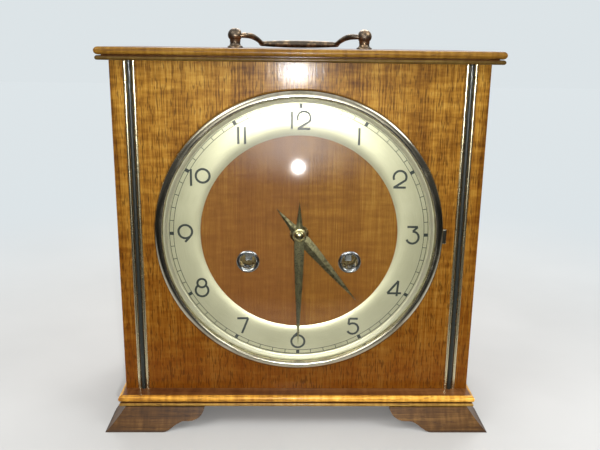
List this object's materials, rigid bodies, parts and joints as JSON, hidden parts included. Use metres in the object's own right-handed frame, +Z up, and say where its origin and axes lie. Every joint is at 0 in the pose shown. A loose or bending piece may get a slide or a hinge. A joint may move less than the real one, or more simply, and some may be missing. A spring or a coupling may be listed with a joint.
{
  "type": "mantel clock",
  "caption": "Square wooden mantel clock with a hinged domed-glass bezel, pointed hands, carrying handle, bracket feet and a geared striking pendulum movement behind a back door.",
  "frame": {"origin": "on the standing surface, under the middle of the clock's outline", "axes": "+X to the clock's right as seen from the front, +Y from the dial into the case, +Z up"},
  "size_m": [0.251, 0.138, 0.257],
  "materials": {
    "veneer": "ribbon-striped veneer under high-gloss lacquer",
    "moulding": "gloss lacquered beaded edge",
    "dark_walnut": "satin lacquer",
    "plain_wood": "plain stained back",
    "polished_brass": "polished, slightly tarnished",
    "black_lacquer": "gloss black",
    "aged_brass": "aged, olive-brown",
    "bronze": "antique bronze, worn on its edges",
    "champagne_dial": "circular-brushed champagne satin",
    "nickel": "nickel plated",
    "clear_glass": "clear, domed",
    "clock_brass": "machined",
    "steel": "machined",
    "blued_steel": "blued spring steel",
    "cast_iron": "black"
  },
  "bodies": {
    "case": {"top_board": "moulding", "base_board": "moulding", "front_panel": "veneer", "side_panel_left": "veneer", "side_panel_right": "veneer", "back_rails": "plain_wood", "back_stiles": "plain_wood", "front_feet": "dark_walnut", "back_feet": "dark_walnut", "brass_beads": "polished_brass", "black_strips": "black_lacquer", "door_fixed_leaves": "polished_brass", "door_hinge_pins": "steel", "handle_posts": "bronze", "chapter_ring": "champagne_dial", "winding_eyelets": "nickel", "bezel_fixed_leaf": "polished_brass", "bezel_hinge_pin": "steel", "front_plate": "clock_brass", "back_plate": "clock_brass", "plate_pillars": "steel", "mounting_screws": "steel", "gong_rods": "steel", "gong_block": "cast_iron"},
    "bezel": {"bezel_rim": "aged_brass", "bezel_glass": "clear_glass", "bezel_sight_ring": "polished_brass"},
    "door": {"back_door": "plain_wood", "door_moving_leaves": "polished_brass", "door_knob": "polished_brass"},
    "bail": {"handle_bail": "bronze"},
    "minute_work": {"minute_hand": "aged_brass", "hand_nut": "polished_brass", "cannon_pinion": "clock_brass"},
    "motion_work": {"minute_wheel": "clock_brass"},
    "hour_work": {"hour_hand": "aged_brass", "hour_wheel": "clock_brass"},
    "going_drum": {"going_barrel": "clock_brass", "going_mainspring": "blued_steel"},
    "going_winder": {"going_arbor": "steel", "going_ratchet": "clock_brass"},
    "going_pawl": {"going_click": "steel"},
    "strike_drum": {"strike_barrel": "clock_brass", "strike_mainspring": "blued_steel"},
    "strike_winder": {"strike_arbor": "steel", "strike_ratchet": "clock_brass"},
    "strike_pawl": {"strike_click": "steel"},
    "second": {"second_wheel": "clock_brass"},
    "centre": {"centre_wheel": "clock_brass"},
    "third": {"third_wheel": "clock_brass"},
    "fourth": {"fourth_wheel": "clock_brass"},
    "escape": {"escape_wheel": "clock_brass"},
    "pallets": {"anchor": "steel"},
    "swinging_pendulum": {"pendulum": "clock_brass"},
    "strike_second": {"strike_second_wheel": "clock_brass"},
    "pins": {"pin_wheel": "clock_brass"},
    "warning": {"warning_wheel": "clock_brass"},
    "air_brake": {"fly": "clock_brass"},
    "low_hammer": {"hammer_low": "steel"},
    "high_hammer": {"hammer_high": "steel"}
  },
  "joints": [
    {"name": "bezel_hinge", "type": "hinge", "parent": "case", "child": "bezel", "pos_m": [-0.0895, -0.0509, 0.1299], "axis": [0, 0, -1], "range_deg": [0, 92]},
    {"name": "door_hinge", "type": "hinge", "parent": "case", "child": "door", "pos_m": [-0.085, 0.0651, 0.129], "axis": [0, 0, 1], "range_deg": [0, 110]},
    {"name": "handle_pivot", "type": "hinge", "parent": "case", "child": "bail", "pos_m": [0, 0.005, 0.2522], "axis": [1, 0, 0], "range_deg": [0, 207]},
    {"name": "minute_hand_spin", "type": "hinge", "parent": "case", "child": "minute_work", "pos_m": [0, 0, 0.1299], "axis": [0, 1, 0], "continuous": true},
    {"name": "minute_wheel_spin", "type": "hinge", "parent": "case", "child": "motion_work", "pos_m": [-0.01048, 0, 0.12385], "axis": [0, 1, 0], "continuous": true},
    {"name": "hour_hand_spin", "type": "hinge", "parent": "case", "child": "hour_work", "pos_m": [0, 0, 0.1299], "axis": [0, 1, 0], "continuous": true},
    {"name": "going_winding", "type": "hinge", "parent": "case", "child": "going_winder", "pos_m": [0.03275, 0, 0.11115], "axis": [0, 1, 0], "continuous": true},
    {"name": "going_click_pivot", "type": "hinge", "parent": "case", "child": "going_pawl", "pos_m": [0.04025, 0, 0.12414], "axis": [0, 1, 0], "range_deg": [0, 12]},
    {"name": "strike_winding", "type": "hinge", "parent": "case", "child": "strike_winder", "pos_m": [-0.03275, 0, 0.11115], "axis": [0, 1, 0], "continuous": true},
    {"name": "strike_click_pivot", "type": "hinge", "parent": "case", "child": "strike_pawl", "pos_m": [-0.04025, 0, 0.12414], "axis": [0, -1, 0], "range_deg": [0, 12]},
    {"name": "third_wheel_spin", "type": "hinge", "parent": "case", "child": "third", "pos_m": [0.00805, 0, 0.14555], "axis": [0, 1, 0], "continuous": true},
    {"name": "going_barrel_spin", "type": "hinge", "parent": "case", "child": "going_drum", "pos_m": [0.03275, 0, 0.11115], "axis": [0, 1, 0], "continuous": true},
    {"name": "second_wheel_spin", "type": "hinge", "parent": "case", "child": "second", "pos_m": [0.00332, 0, 0.10906], "axis": [0, 1, 0], "continuous": true},
    {"name": "centre_wheel_spin", "type": "hinge", "parent": "case", "child": "centre", "pos_m": [0, 0, 0.1299], "axis": [0, 1, 0], "continuous": true},
    {"name": "fourth_wheel_spin", "type": "hinge", "parent": "case", "child": "fourth", "pos_m": [0.00499, 0, 0.16289], "axis": [0, 1, 0], "continuous": true},
    {"name": "escape_wheel_spin", "type": "hinge", "parent": "case", "child": "escape", "pos_m": [0, 0, 0.17714], "axis": [0, 1, 0], "continuous": true},
    {"name": "pendulum_swing", "type": "hinge", "parent": "case", "child": "swinging_pendulum", "pos_m": [0, 0, 0.19264], "axis": [0, 1, 0], "range_deg": [-3, 3]},
    {"name": "anchor_rock", "type": "hinge", "parent": "case", "child": "pallets", "pos_m": [0, 0, 0.19264], "axis": [0, 1, 0], "range_deg": [-3, 3]},
    {"name": "pin_wheel_spin", "type": "hinge", "parent": "case", "child": "pins", "pos_m": [-0.02543, 0, 0.15265], "axis": [0, 1, 0], "continuous": true},
    {"name": "strike_barrel_spin", "type": "hinge", "parent": "case", "child": "strike_drum", "pos_m": [-0.03275, 0, 0.11115], "axis": [0, 1, 0], "continuous": true},
    {"name": "strike_second_spin", "type": "hinge", "parent": "case", "child": "strike_second", "pos_m": [-0.03787, 0, 0.1402], "axis": [0, 1, 0], "continuous": true},
    {"name": "warning_wheel_spin", "type": "hinge", "parent": "case", "child": "warning", "pos_m": [-0.02237, 0, 0.16998], "axis": [0, 1, 0], "continuous": true},
    {"name": "fly_spin", "type": "hinge", "parent": "case", "child": "air_brake", "pos_m": [-0.03208, 0, 0.18155], "axis": [0, 1, 0], "continuous": true},
    {"name": "low_hammer_lift", "type": "hinge", "parent": "case", "child": "low_hammer", "pos_m": [-0.0445, 0, 0.1599], "axis": [0, 1, 0], "range_deg": [0, 14]},
    {"name": "high_hammer_lift", "type": "hinge", "parent": "case", "child": "high_hammer", "pos_m": [-0.0445, 0, 0.1599], "axis": [0, 1, 0], "range_deg": [0, 14]}
  ],
  "couplings": [
    {"joint": "minute_wheel_spin", "follows": "minute_hand_spin", "ratio": -0.33333},
    {"joint": "hour_hand_spin", "follows": "minute_hand_spin", "ratio": 0.083333},
    {"joint": "centre_wheel_spin", "follows": "third_wheel_spin", "ratio": -0.16667},
    {"joint": "second_wheel_spin", "follows": "third_wheel_spin", "ratio": 0.027778},
    {"joint": "going_barrel_spin", "follows": "third_wheel_spin", "ratio": -0.0046296},
    {"joint": "fourth_wheel_spin", "follows": "third_wheel_spin", "ratio": -6},
    {"joint": "escape_wheel_spin", "follows": "third_wheel_spin", "ratio": 30},
    {"joint": "anchor_rock", "follows": "pendulum_swing", "ratio": 1},
    {"joint": "strike_second_spin", "follows": "pin_wheel_spin", "ratio": -0.16667},
    {"joint": "strike_barrel_spin", "follows": "pin_wheel_spin", "ratio": 0.027778},
    {"joint": "warning_wheel_spin", "follows": "pin_wheel_spin", "ratio": -6},
    {"joint": "fly_spin", "follows": "pin_wheel_spin", "ratio": 30}
  ]
}
